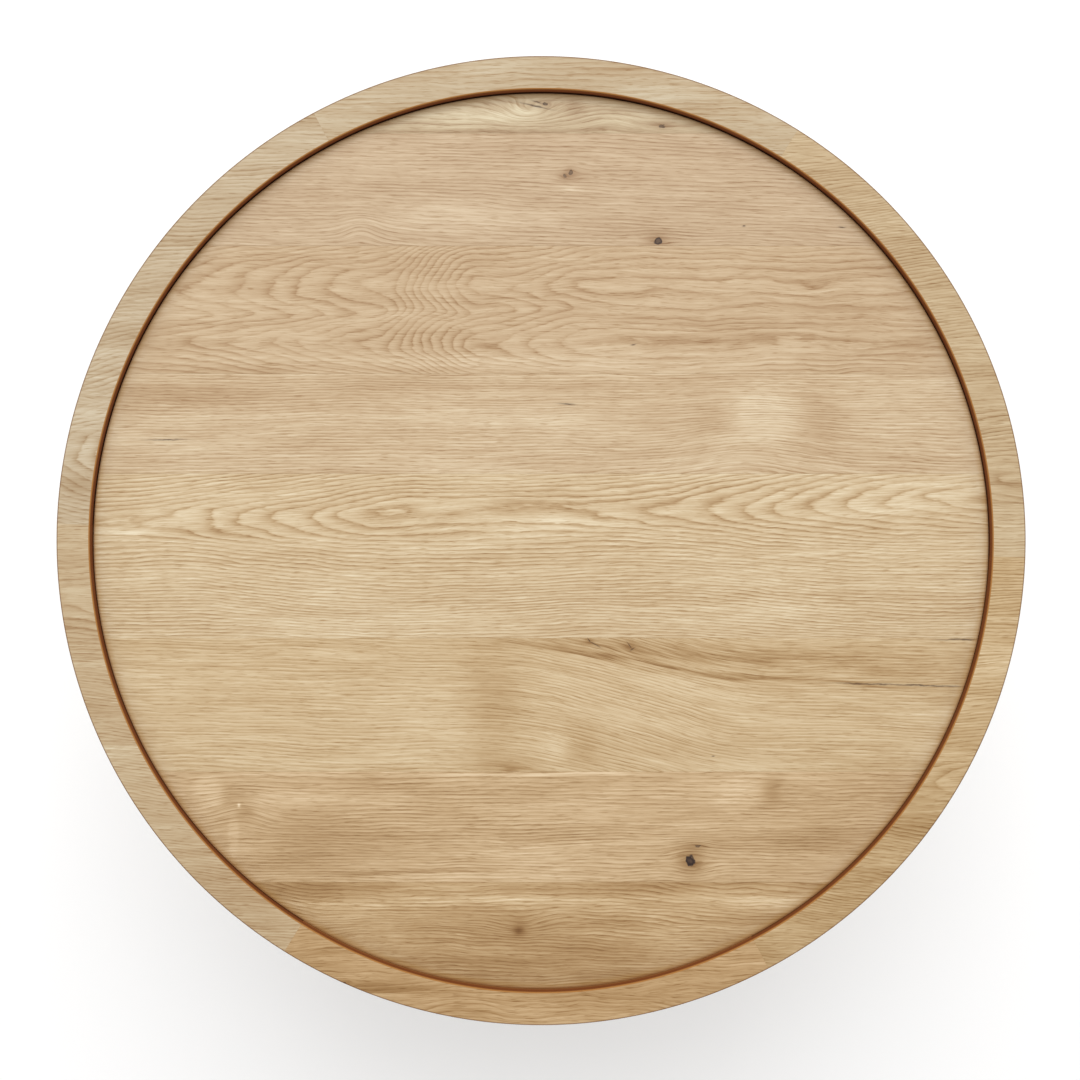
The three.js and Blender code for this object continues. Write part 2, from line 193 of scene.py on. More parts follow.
def colour(red, green, blue):
    """A screen colour, 0 to 255, as the linear one that a shader takes."""
    return tuple(((c / 255 + 0.055) / 1.055) ** 2.4 for c in (red, green, blue)) + (1.0,)


def oak(
    name, pale=(192, 172, 139), brown=(146, 112, 74), lobes=((0, 60, 0),), spacing=3.0, flames=(),
    top=738.0, lean=0.0, drops=(), wave=3.0, eyes=(), figure=0.7, crisp=0.95, cloud=0.5, bends=(), knots=(),
    patches=(), painted_sheens=(), streaks=(), checks=(), strips=(), seed=0, grain="XYZ", sheen=0.28,
):
    """Lacquered oak, as the cut of a board through the rings of its tree.

    The pith lies under the board, and a growth ring is a shell round it: its distance from the pith, counted
    in spacings, less the rings that the saw has run out through along the grain, is a whole number. Each ring
    starts with a dark row of pores and fades. What darkens the wood adds up to a density, from 0, pale, to 1,
    brown. figure, crisp and cloud say how strongly rings, threads and soft clouds show.
    lobes: the crests that a ring makes, as (place across the grain, depth of the pith, lag of this crest).
    flames: (start, end, rings), where that many rings run out as arches that open towards the end.
    bends: (x, y, half length, half width, lift), where the grain is pushed across. lean: its slope.
    drops: (start, end, fall), where it runs down across the board. wave: how far it wanders to and fro.
    eyes: (x, y, half length, half width, rings), where that many rings close round a point.
    knots: (x, y, half length, half width, darkness).
    patches: (x, y, half length, half width, density), soft. sheens: the same, but flat with soft edges: pale
    patches of painted sheen.
    streaks: (x, y, half length, half width, density, slope), drawn out along the fibre.
    checks: (x, y, half length, slope), fine dark cracks.
    strips: (place across the grain, step), the joints of a blank glued up from strips.
    grain names the object axes along the grain, across it and into the board, and top is the height of its
    face. sheen is the shader's specular level.
    """
    made, tree, shader = material(name)
    xyz = dict(zip("XYZ", axes(tree, surface(tree))))
    along, across, deep = (xyz[axis] for axis in grain)
    place = combined(tree, along, across, deep)

    # A blank glued up from strips has another piece of wood, and so other rings, on each side of a joint.
    shift = None
    for at, step in strips:
        one = across.maths("GREATER_THAN", at) * step
        shift = one if shift is None else shift + one
    if shift is not None:
        deep = deep + shift * 9.0
        place = combined(tree, along + shift * 40.0, across, deep)

    # Where the fibre runs: the place across the grain, straightened.
    flow = across - along * lean
    flow = flow + noise(tree, place, (260, 60, 60), seed + 1, 1.0) * 14.0
    flow = flow + noise(tree, place, (64, 30, 30), seed + 1.5, 1.0) * wave
    for start, end, fall in drops:
        flow = flow + along.step(start, end) * fall
    for x, y, half_x, half_y, lift in bends:
        flow = flow - spot(tree, place, x, y, half_x, half_y) * lift
    for x, y, half_x, half_y, _ in knots:
        pull = spot(tree, place, x, y, half_x * 5, half_y * 2.6) * 0.72
        flow = flow - (across - y) * pull
    fibre = combined(tree, along, flow, deep)

    # Which ring: shells round the pith, ruffled along the fibre.
    ring = None
    for y, depth, lag in lobes:
        side = flow - y
        down = deep + (depth - top)
        crest = (side * side + down * down) ** 0.5 + (lag - depth)
        ring = crest if ring is None else ring.maths("SMOOTH_MIN", crest, 9.0)
    ring = ring * (1 / spacing)
    run = along + noise(tree, place, (90, 60, 60), seed + 11, 1.0) * 36.0
    for start, end, rings in flames:
        ring = ring - run.step(start, end) * rings
    for x, y, half_x, half_y, rings in eyes:
        ring = ring - spot(tree, place, x, y, half_x, half_y) * rings
    ring = ring + noise(tree, fibre, (90, 22, 22), seed + 2, 2.0) * 1.8
    ring = ring + noise(tree, fibre, (12, 1.6, 1.6), seed + 3, 1.0) * 0.3
    part = ring.maths("FRACT")
    early = (part * -3.2).maths("EXPONENT") + ((part - 1.0) * 16.0).maths("EXPONENT")
    marked = noise(tree, fibre, (140, 18, 18), seed + 4, 1.0) * 1.6 + figure

    # Fibres, and the pores as dark dashes that crowd where a ring starts.
    coarse = noise(tree, fibre, (150, 6, 6), seed + 5, 2.0, 0.6)
    thread = noise(tree, fibre, (34, 1.4, 1.4), seed + 6, 2.0, 0.65)
    dash = noise(tree, fibre, (15, 0.8, 0.8), seed + 7, 1.0)
    pores = (dash + early * 0.06).step(0.1, 0.24)
    clouds = noise(tree, place, (170, 34, 34), seed + 8, 2.0)

    density = early * marked * 0.85 + coarse * 0.5 + thread * crisp + pores * 0.4 + clouds * cloud
    for x, y, half_x, half_y, shade in patches:
        density = density + spot(tree, place, x, y, half_x, half_y) * shade
    # Painted sheen: flat pale patches where the fibres catch the light.
    for x, y, half_x, half_y, shade in painted_sheens:
        density = density + spot(tree, place, x, y, half_x, half_y).step(0.1, 0.7) * shade
    for x, y, half_x, half_y, shade, slope in streaks:
        slanted = combined(tree, along, across - (along - x) * slope + coarse * 16.0, 0.0)
        density = density + spot(tree, slanted, x, y, half_x, half_y) * (thread * 2.6 + 1.0) * shade
    if shift is not None:
        density = density + ((shift * 2.37).maths("FRACT") - 0.5) * 0.3
    for x, y, half_x, half_y, darkness in knots:
        density = density + spot(tree, place, x, y, half_x * 3.2, half_y * 2.4) * (0.75 * darkness)

    # The colour falls off from pale by the same factor for each unit of density.
    falls = [(light, math.log(dark / light)) for light, dark in zip(colour(*pale)[:3], colour(*brown)[:3])]
    base = combined(tree, *((density * fall).maths("EXPONENT") * light for light, fall in falls))
    hollow = pores * 0.06
    for x, y, half_x, half_y, darkness in knots:
        wander = noise(tree, place, (half_x * 1.3, half_y * 1.3, 8), seed + x, 2.0)
        away = vector(tree, "LENGTH", from_centre(tree, place, x, y, half_x, half_y), out=1) + wander * 1.9
        heart = away.step(1.15, 0.8)
        bark = heart - away.step(0.7, 0.2) * 0.5
        base = mixed(tree, heart * darkness, base, colour(92, 70, 52))
        base = mixed(tree, bark * darkness, base, colour(44, 30, 24))
        hollow = hollow + bark * (0.25 * darkness)
    for x, y, half, slope in checks:
        wander = noise(tree, place, (9, 3.5, 3.5), seed + 9, 2.0)
        line = combined(tree, along, across - (along - x) * slope + wander * 3.0, 0.0)
        crack = spot(tree, line, x, y, half, 0.75)
        base = mixed(tree, crack * 0.85, base, colour(58, 38, 26))
        hollow = hollow + crack * 0.2

    feed(shader.inputs["Base Color"], base)
    feed(shader.inputs["Roughness"], pores * 0.2 + early * 0.05 + 0.5)
    shader.inputs["Specular IOR Level"].default_value = sheen
    relief(tree, shader, thread * 0.02 - hollow)
    return made


def strip(radius, low, high, steps=96):
    """The outline of a disc between two lines across Y, anticlockwise from the right.

    x = radius cos a and y = radius sin a between the angles where the lines meet the circle, mirrored in X.
    """
    start, end = np.arcsin(np.clip([low / radius, high / radius], -1, 1))
    angle = np.linspace(start, end, steps)
    right = radius * np.stack([np.cos(angle), np.sin(angle)], 1)
    left = right[::-1] * [-1, 1]
    return np.concatenate([right, left[1 if high >= radius else 0:(-1 if low <= -radius else None)]])


def level(outline, height):
    """A flat outline at a height."""
    return np.column_stack([outline, np.full(len(outline), height)])


def shell(name, points, faces):
    """A mesh object, smooth over its rounds and crisp at its edges."""
    mesh = bpy.data.meshes.new(name)
    mesh.from_pydata(np.asarray(points).reshape(-1, 3).tolist(), [], faces)
    mesh.shade_smooth()
    mesh.set_sharp_from_angle(angle=math.radians(32))
    made = bpy.data.objects.new(name, mesh)
    bpy.context.scene.collection.objects.link(made)
    return made


def walls(levels, count):
    """The quads between levels of count points each: point k joins k + 1 and the same two a level up."""
    here = np.arange(count)
    after = np.roll(here, -1)
    row = np.arange(levels - 1)[:, None] * count
    return np.stack([row + here, row + after, row + count + after, row + count + here], -1).reshape(-1, 4)


def loft(name, outlines):
    """Outlines of equal length, joined by quads from first to last and closed by a flat face at both."""
    levels, count = len(outlines), len(outlines[0])
    here = np.arange(count)
    ends = [here[::-1].tolist(), (here + (levels - 1) * count).tolist()]
    return shell(name, np.concatenate(outlines), walls(levels, count).tolist() + ends)


def fit(piece, node, finish, body="table"):
    """piece stands for a node, has its finish, and rides on a body."""
    piece.data.materials.append(finish)
    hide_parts(node)
    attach(piece, body)


TOP_RADIUS = round(cad_box[1].x, 3)
RIM_WIDTH = 34 * MM
SHADOW_GAP = 0.5 * MM
panel_radius = TOP_RADIUS - RIM_WIDTH - SHADOW_GAP

PLANKS = [
    dict(  # the back board: pale sapwood, with curled grain round a small knot and a grey streak beside it
        pale=(181, 162, 131), brown=(138, 110, 80), lobes=((420, 26, 0),), spacing=3.6, figure=0.55,
        eyes=((-8, 452, 34, 9, 2.0),), bends=((-12, 446, 34, 14, -16), (70, 440, 30, 14, 8)),
        knots=((4, 454, 2.4, 1.4, 0.6), (126, 431, 3.4, 2.0, 0.5)),
        patches=((-85, 440, 62, 6, -0.35), (-20, 446, 24, 8, -0.35), (34, 452, 10, 10, 0.4),
                 (95, 440, 34, 6, -0.3)),
        checks=((-6, 452, 15, -0.22), (-4, 456, 5, -0.3)), seed=1,
    ),
    dict(  # even rift-sawn wood, with two grey pin knots and one dark one
        pale=(184, 161, 131), brown=(144, 114, 83), lobes=((560, 90, 0),), spacing=3.6, lean=-0.03,
        figure=0.5, cloud=0.35, bends=((-186, 326, 22, 17, 9),),
        knots=((24.5, 379, 1.9, 1.9, 0.42), (31, 383, 1.9, 2.6, 0.5), (122, 312, 4.4, 3.6, 0.85)),
        patches=((32, 379, 16, 8, 0.35), (30, 366, 12, 5, -0.3), (-120, 332, 120, 7, -0.15)),
        checks=((211, 327, 1.6, 0), (313, 326, 3.5, 0)), seed=2,
    ),
    dict(  # two crests side by side, whose arches open to the right
        pale=(183, 159, 127), brown=(144, 112, 78), lobes=((264, 62, 5), (206, 34, 0)), spacing=2.7,
        flames=((-440, -60, 8), (-170, -60, 7), (-60, 70, 3)), figure=0.55, wave=9, cloud=0.3,
        patches=((-60, 186, 300, 9, -0.25), (-300, 240, 120, 40, -0.12)),
        checks=((96, 204, 2.5, 0.2),), seed=3,
    ),
    dict(  # straight and full of fine pores, bulging round a pale patch of painted sheen
        pale=(193, 172, 141), brown=(148, 116, 82), lobes=((-60, 90, 0),), spacing=3.0, figure=0.55,
        bends=((217, 96, 70, 52, 13),),
        patches=((292, 124, 26, 34, 0.22), (176, 128, 18, 30, 0.12), (-380, 155, 70, 13, 0.35),
                 (40, 160, 200, 8, 0.15)),
        painted_sheens=((234, 131, 38, 30, -0.2),),
        checks=((112, 175, 20, 0), (27, 142, 8, -0.08), (-390, 105, 17, 0.02)), seed=4,
    ),
    dict(  # a long row of flames on the right, small ones on the left, and fine straight lines in front
        pale=(199, 180, 148), brown=(150, 118, 80), lobes=((30, 30, 0),), spacing=3.3, lean=0.03,
        flames=((-420, -130, 6), (20, 500, 9)), figure=0.74, cloud=0.3, bends=((-60, 30, 90, 26, 6),),
        patches=((-430, 10, 40, 7, -0.3), (30, 18, 60, 6, -0.3)), seed=5,
    ),
    dict(  # slanting grain, with a dark streaky wedge that runs from two small knots to the right
        pale=(194, 172, 137), brown=(150, 118, 78), lobes=((-330, 70, 0),), spacing=3.2, lean=-0.02,
        drops=((-60, 250, 52),), figure=0.5, cloud=0.4,
        bends=((72, -108, 34, 9, 3), (190, -205, 60, 30, -5)),
        # The first patch is painted shade: the dark band of the wood's chatoyance.
        patches=((-50, -168, 32, 74, 0.32), (14, -218, 12, 16, -0.2), (44, -216, 16, 22, 0.25),
                 (-34, -234, 34, 8, 0.35), (50, -104, 6, 4, 0.5), (92, -110, 6, 5, 0.6),
                 (-30, -238, 9, 2, 0.6)),
        streaks=((70, -110, 70, 6, 0.5, -0.12), (190, -120, 90, 12, 0.4, -0.08),
                 (330, -126, 130, 18, 0.34, -0.03), (80, -122, 110, 1.8, 0.8, -0.17),
                 (280, -146, 110, 1.8, 0.7, -0.06), (180, -137, 60, 1.5, 0.5, -0.12)),
        checks=((50, -103.5, 1.8, -1.1), (56, -108, 5, -0.6), (92, -109, 2.4, -1.3), (95, -113, 2.0, 0.7),
                (179, -224, 1.5, 0), (340, -149, 30, -0.02), (405, -151, 40, -0.03), (436, -103, 22, 0)),
        seed=6,
    ),
    dict(  # browner, blotched pale and dark, with flat pale patches of painted sheen, and with an open knot
        pale=(191, 165, 129), brown=(140, 108, 70), lobes=((-210, 52, 0),), spacing=3.0, figure=0.6,
        bends=((-313, -280, 30, 22, 10),), knots=((156, -333, 4.2, 6.0, 1.0), (163, -318, 3.0, 1.4, 0.5)),
        patches=((-317, -266, 17, 14, 0.3), (-306, -282, 8, 5, 0.4), (-250, -316, 54, 28, 0.22),
                 (-314.2, -275.3, 1.6, 2.2, -0.8), (241, -260, 11, 14, 0.42), (296, -310, 50, 24, 0.32)),
        painted_sheens=((-346, -261, 16, 17, -0.16), (-320, -306, 6, 24, -0.16), (204, -267, 26, 20, -0.14)),
        streaks=((-6, -242, 170, 1.5, -0.5, 0.0), (-20, -350, 260, 4, -0.15, 0.0),
                 (-140, -344, 90, 2, 0.5, 0.02)),
        seed=7,
    ),
    dict(  # the front board: the brownest, with wavy crests
        pale=(179, 151, 112), brown=(126, 91, 52), lobes=((-300, 60, 0),), spacing=3.1,
        flames=((-330, -200, 3), (40, 300, 3)), figure=0.6, crisp=1.0, cloud=0.9, wave=9,
        bends=((-120, -410, 90, 20, 7), (-23, -400, 26, 12, -8)),
        patches=((250, -380, 90, 12, -0.3), (-160, -380, 110, 9, -0.25), (-235, -364, 60, 11, 0.3),
                 (40, -424, 60, 9, 0.3), (-70, -438, 90, 8, 0.25), (-10, -372, 160, 5, -0.25),
                 (-23, -406, 5, 4, 0.8), (-23, -403, 10, 8, 0.3)),
        seed=8,
    ),
]
EASE = 0.25 * MM  # the arris that sanding leaves at a glue line
PUSHED = 0.4 * MM  # the panel sits this far to the front in its gap


def stain_and_painted_light_band(made, start, end, share, tint, low=-1.0, high=-0.9):
    """Lays a tint on where the distance from Z goes from start to end, and the height from low to high. It
    lays real stain, and also painted shade and a painted highlight.
    """
    tree = made.node_tree
    shader = tree.nodes["Principled BSDF"]
    place = surface(tree, 1.0)
    radius = vector(tree, "LENGTH", vector(tree, "MULTIPLY", place, (1, 1, 0)), out=1)
    here = radius.step(start, end) * axes(tree, place)[2].step(low, high) * share
    base = Field(tree, shader.inputs["Base Color"].links[0].from_socket)
    feed(shader.inputs["Base Color"], mixed(tree, here, base, tint))
    return made


for number, plank in enumerate(PLANKS, 1):
    node = f"panel_board_{number}"
    (_, low, bottom), (_, high, top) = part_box(node)
    low = -1.0 if number == len(PLANKS) else low
    high = 1.0 if number == 1 else high
    outlines = [
        level(strip(panel_radius - ease, low + ease, high - ease), height) - (0, PUSHED, 0)
        for ease, height in ((EASE, bottom), (0, bottom + EASE), (0, top - EASE), (EASE, top))
    ]
    # Painted shade along the boards' edge by the rim's wall: a golden tint over the last few millimetres, and
    # brown in the crease.
    finish = oak(f"oak_plank_{number}", **plank)
    stain_and_painted_light_band(finish, panel_radius - 8 * MM, panel_radius - 1 * MM, 0.35, colour(160, 116, 44))
    stain_and_painted_light_band(finish, panel_radius - 2.6 * MM, panel_radius - 0.2 * MM, 0.6, colour(124, 76, 36))
    fit(loft(f"panel_plank_{number}", outlines), node, finish)


# -------- rim
# A ring of six oak segments, sawn from glued-up blanks with the grain all one way, butted, glued and moulded
# round. Its outer arrises are rounded over, with painted shade along them, and the wall down to the panel
# carries a brown stain, with painted shade at its foot and a painted highlight at its lip.

rim_low, rim_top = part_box("rim_segment_1")[0].z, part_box("rim_segment_1")[1].z
rim_inner = TOP_RADIUS - RIM_WIDTH
ledge_inner = rim_inner - 16 * MM
RIM_FIRST_JOINT, RIM_SPAN = 58, 60  # degrees


def quarter(x, y, radius, start, steps=7):
    """A quarter round of that radius about a centre, anticlockwise from an angle in degrees."""
    angle = np.radians(np.linspace(start, start + 90, steps))
    return np.stack([x + radius * np.cos(angle), y + radius * np.sin(angle)], 1)


def swept(name, profile, start, end, ease, step=0.75):
    """A closed profile of (radius, height), anticlockwise, carried round Z from start to end, in degrees.

    The rows next to both ends are full size, and the end rows are drawn in by ease along its normals.
    """
    along = np.roll(profile, -1, 0) - np.roll(profile, 1, 0)
    inward = np.stack([-along[:, 1], along[:, 0]], 1) / np.linalg.norm(along, axis=1, keepdims=True)
    crisp = math.degrees(ease / profile[:, 0].max())
    middle = np.linspace(start + crisp, end - crisp, math.ceil((end - start) / step) + 1)
    angle = np.radians(np.concatenate([[start], middle, [end]]))
    drawn = np.zeros(len(angle))
    drawn[[0, -1]] = ease
    rows = profile + inward * drawn[:, None, None]
    radius, height = rows[..., 0], rows[..., 1]
    points = np.stack([radius * np.cos(angle)[:, None], radius * np.sin(angle)[:, None], height], -1)
    # A row of the sweep is an outline, so the rows are lofted as levels are.
    return loft(name, list(points))


def moulded(made, foot):
    """Paints shade on the arris outside, and tints the wall inside: painted shade at its foot in the foot's
    tint, then brown stain, and a painted golden highlight at the lip.
    """
    arris = TOP_RADIUS - 1.9 * MM, TOP_RADIUS - 0.5 * MM
    # Painted shade along the rounded outer arris, all round.
    stain_and_painted_light_band(made, *arris, 0.85, colour(104, 66, 28), rim_top - 2.4 * MM, rim_top - 1 * MM)
    wall = rim_inner + 1.1 * MM, rim_inner + 0.6 * MM
    # Up the wall: painted shade at its foot in the foot's tint, then brown stain, then a painted golden
    # highlight at the lip.
    for low, high, share, tint in (
        (-3.0, -2.0, 1.0, foot), (0.6, 5.0, 1.0, (118, 64, 30)), (8.4, 11.6, 0.85, (168, 118, 62)),
    ):
        stain_and_painted_light_band(made, *wall, share, colour(*tint), panel_top + low * MM, panel_top + high * MM)
    return made


panel_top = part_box("panel_board_5")[1].z
SEGMENTS = [
    dict(  # at the back: plain and smooth, with a pinkish sheen
        pale=(178, 160, 132), brown=(137, 105, 71), lobes=((560, 90, 0),), spacing=3.8, figure=0.3, crisp=0.6,
        wave=5, patches=((-190, 446, 60, 16, -0.1), (-40, 488, 90, 9, -0.1)), seed=11,
    ),
    dict(  # ragged S-shaped figure towards the side, and a smooth greyish sheen towards the back
        pale=(176, 157, 129), brown=(130, 100, 68), lobes=((90, 40, 0),), spacing=4.4,
        flames=((-560, -380, 7),), figure=0.42, crisp=0.6, wave=9, strips=((199, 1.0),),
        patches=((-255, 425, 26, 14, 0.15), (-470, 90, 40, 12, -0.12), (-478, 56, 18, 10, 0.35),
                 (-466, 130, 30, 9, -0.12)),
        seed=12,
    ),
    dict(  # blank glued up from strips, fine and mottled
        pale=(187, 168, 137), brown=(141, 109, 75), lobes=((-60, 40, 0),), flames=((-500, -300, 5),),
        figure=0.4, crisp=0.7, wave=7, strips=((-212, 0.7), (-110, 1.3), (-26, 2.1)),
        patches=((-478, -50, 20, 17, 0.5), (-474, -100, 24, 12, -0.3), (-350, -330, 130, 110, 0.36),
                 (-276, -388, 44, 40, 0.18)),
        seed=13,
    ),
    dict(  # at the front: the most golden, with fine threads and a few dark curls
        pale=(178, 148, 109), brown=(124, 90, 52), lobes=((-620, 120, 0),), spacing=3.4, figure=0.36,
        crisp=0.85, wave=12, eyes=((-96, -476, 70, 11, 1.6), (130, -462, 60, 12, -1.4)),
        knots=((-159, -456, 2.4, 1.2, 0.7),), strips=((-467, 1.1),),
        patches=((-252, -412, 26, 22, -0.3), (-118, -462, 40, 7, 0.4), (50, -474, 130, 14, 0.25)), seed=14,
    ),
    dict(  # golden and browner at its middle, with a bright stripe beside a joint
        pale=(192, 169, 133), brown=(131, 98, 59), lobes=((-250, 34, 0),), flames=((150, 480, 9),),
        figure=0.45, crisp=0.75, wave=8, strips=((-320, 0.6), (-110, 0.9), (-79, 1.7)),
        patches=((228, -426, 24, 16, 0.3), (476, -94, 26, 13, -0.3), (330, -350, 190, 190, 0.32),
                 (318, -364, 50, 44, 0.1)),
        seed=15,
    ),
    dict(  # long arches, then rings that close round two small knots
        pale=(179, 157, 124), brown=(133, 102, 68), lobes=((60, 28, 0),), flames=((200, 500, 9),),
        figure=0.45, crisp=0.7, wave=7,
        eyes=((477, 91, 17, 12, 3.4), (470, 122, 20, 8, -1.6), (478, 46, 10, 6, 2.2)),
        knots=((477, 91, 3.0, 1.8, 0.7), (478, 44, 3.6, 2.6, 0.6), (295, 384, 2.2, 1.4, 0.5)),
        strips=((38, 2.3), (76, 0.8), (121, 1.6), (181, 0.9)),
        patches=((256, 409, 30, 16, 0.2), (388, 290, 34, 12, 0.3)), seed=16,
    ),
]
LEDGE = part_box("panel_board_5")[0].z
# Painted shade at the foot of the wall: darkest at the back, where the wall faces away from the window, and
# lightest at the front, which faces it.
PAINTED_FOOT_SHADES = [(52, 22, 10), (50, 22, 10), (84, 46, 22), (140, 92, 50), (104, 62, 32), (72, 38, 20)]

rim_profile = np.concatenate([
    [[ledge_inner, rim_low]],
    quarter(TOP_RADIUS - 3 * MM, rim_low + 3 * MM, 3 * MM, -90),
    quarter(TOP_RADIUS - 1.2 * MM, rim_top - 1.2 * MM, 1.2 * MM, 0),
    quarter(rim_inner + 0.8 * MM, rim_top - 0.8 * MM, 0.8 * MM, 90),
    [[rim_inner, LEDGE], [ledge_inner, LEDGE]],
])
for number, segment in enumerate(SEGMENTS, 1):
    start = RIM_FIRST_JOINT + (number - 1) * RIM_SPAN
    piece = swept(f"rim_length_{number}", rim_profile, start, start + RIM_SPAN, 0.08 * MM)
    finish = oak(f"oak_rim_{number}", top=rim_top / MM, sheen=0.12, **segment)
    fit(piece, f"rim_segment_{number}", moulded(finish, PAINTED_FOOT_SHADES[number - 1]))


# -------- battens
# Two bars of solid oak across the grain under the panel, which keep it flat. Their ends are bevelled, every
# arris is eased, and each is held by two zinc-plated pan-head screws, sunk in counterbored holes.

SIDES = 48


def circle(x, y, radius, height):
    """A level ring of SIDES points. radius is one number, or one for each point."""
    angle = np.linspace(0, 2 * np.pi, SIDES, endpoint=False)
    return np.column_stack([x + radius * np.cos(angle), y + radius * np.sin(angle), np.full(SIDES, height)])


def star(inner, outer, points=6):
    """The radius, at each point of a circle, of a star with rounded points: a mean radius plus a cosine."""
    angle = np.linspace(0, 2 * np.pi, SIDES, endpoint=False)
    return (inner + outer) / 2 + (outer - inner) / 2 * np.cos(points * angle)


def turned(x, y, profile):
    """A circle for each (radius, height) about an upright line: a turned solid to loft, or a round hole."""
    return [circle(x, y, radius, height) for radius, height in profile]


def filled(outlines, upward):
    """Triangles over a flat face between an outline and the holes in it, all facing up or all down."""
    points = np.concatenate(outlines)
    faces = np.array(tessellate_polygon([[Vector(p) for p in outline] for outline in outlines]))
    first, second, third = (points[faces[:, k], :2] for k in range(3))
    turn = np.cross(second - first, third - first) > 0
    faces[turn != upward] = faces[turn != upward][:, ::-1]
    return faces


def pierced(name, outlines, holes):
    """A slab lofted through outlines from its underside to its top, with holes that start at its underside.

    A hole is a list of outlines too. It goes through if it ends on the top face, or else its roof closes it.
    """
    tubes = [outlines] + holes
    through = [k for k, tube in enumerate(tubes) if abs(tube[-1][0, 2] - outlines[-1][0, 2]) < 1e-6]
    starts = np.cumsum([0] + [sum(len(ring) for ring in tube) for tube in tubes])
    faces = []
    for tube, start in zip(tubes, starts):
        quads = start + walls(len(tube), len(tube[0]))
        faces += (quads if tube is outlines else quads[:, ::-1]).tolist()

    def ends(chosen, place, upward):
        """The flat face between the first or last outlines of the chosen tubes, by the mesh's own numbers."""
        rings = [tubes[k][place] for k in chosen]
        whole = [starts[k] + (0 if place == 0 else (len(tubes[k]) - 1) * len(tubes[k][0])) for k in chosen]
        number = np.concatenate([first + np.arange(len(ring)) for first, ring in zip(whole, rings)])
        return number[filled(rings, upward)].tolist()

    faces += ends(range(len(tubes)), 0, False) + ends(through, -1, True)
    for k in set(range(len(tubes))) - set(through):
        faces += ends([k], -1, False)
    return shell(name, np.concatenate([ring for tube in tubes for ring in tube]), faces)


def rounded(x, y, half_x, half_y, corner, height, steps=6):
    """A level rectangle with rounded corners, anticlockwise."""
    corners = [(1, -1, -90), (1, 1, 0), (-1, 1, 90), (-1, -1, 180)]
    arcs = [
        quarter(x + side * (half_x - corner), y + end * (half_y - corner), corner, start, steps)
        for side, end, start in corners
    ]
    return level(np.concatenate(arcs), height)


def plated(name):
    """Zinc plating: bluish and yellowish by turns, softly blotched, with fine scuffs."""
    made, tree, shader = material(name)
    place = surface(tree)
    blotch = noise(tree, place, (9, 9, 9), 1, 3.0)
    scuff = noise(tree, place, (0.5, 3.5, 0.5), 2, 2.0)
    base = mixed(tree, blotch * 2.2 + 0.5, colour(168, 173, 180), colour(190, 184, 164))
    feed(shader.inputs["Base Color"], mixed(tree, scuff.step(0.1, 0.25) * 0.5, base, colour(118, 118, 120)))
    feed(shader.inputs["Roughness"], blotch * 0.25 + scuff * 0.2 + 0.36)
    shader.inputs["Metallic"].default_value = 1.0
    relief(tree, shader, blotch * 0.02 + scuff * 0.015)
    return made


ZINC = plated("zinc_plate")


def pan_head(x, y, seat, radius, rise, shank, tip):
    """A screw whose domed head hangs under a seat, with a star drive in it and a pointed shank.

    The dome runs up a quarter turn: its radius as a sine, and its height as a cosine.
    """
    drive = star(0.36 * radius, 0.5 * radius)
    face = seat - rise
    dome = [
        ((0.62 + 0.38 * math.sin(a)) * radius, seat - 0.25 * rise - 0.75 * rise * math.cos(a))
        for a in np.radians(np.linspace(0, 90, 7))
    ]
    profile = [(drive * 0.9, face + 0.55 * rise), (drive, face), (0.62 * radius, face)] + dome
    profile += [(radius, seat), (shank, seat), (shank, tip - 2 * shank), (0.25 * shank, tip)]
    return turned(x, y, profile)


for number in (1, 2):
    (left, front, low), (right, back, high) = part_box(f"batten_{number}")
    x, half_x, half_y = (left + right) / 2, (right - left) / 2, (back - front) / 2
    bar = [  # in millimetres: inset of the sides, set-back of the ends, height
        (3.0, 17.0, 0.0), (2.2, 15.2, 0.3), (0.8, 13.2, 1.4), (0.3, 12.0, 2.6), (0.0, 11.0, 4.0),
        (0.0, 0.6, 17.2), (0.0, 0.2, 18.2), (0.0, 0.0, 19.0), (0.0, 0.0, 21.4), (0.4, 0.4, 22.0),
    ]
    outlines = [
        rounded(x, 0, half_x - inset * MM, half_y - back_set * MM, 1.5 * MM, low + rise * MM)
        for inset, back_set, rise in bar
    ]
    seat, screw_y, sink, clearance = low + 8 * MM, 215 * MM, 6 * MM, 3.2 * MM
    bored = [
        (sink + 0.5 * MM, low), (sink, low + 0.5 * MM), (sink, seat), (clearance, seat), (clearance, high),
    ]
    holes = [turned(x, side * screw_y, bored) for side in (1, -1)]
    finish = oak(
        f"oak_batten_{number}", lobes=((x / MM + 12, 70, 0),), top=high / MM, figure=0.6, seed=20 + number,
        grain="YXZ",
    )
    fit(pierced(f"panel_batten_{number}", outlines, holes), f"batten_{number}", finish)

for number in range(1, 5):
    (left, front, low), (right, back, tip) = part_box(f"batten_screw_{number}")
    x, y, radius = (left + right) / 2, (front + back) / 2, (right - left) / 2
    rise = 3.4 * MM
    outlines = pan_head(x, y, low + rise, radius, rise, 2.5 * MM, tip)
    fit(loft(f"batten_pan_screw_{number}", outlines), f"batten_screw_{number}", ZINC)


# -------- top plate
# A steel disc under the panel, powder-coated black, with a tapped boss for the tie rod welded to its middle.
# Six hexagon-headed wood screws, zinc plated, hold it to the boards.

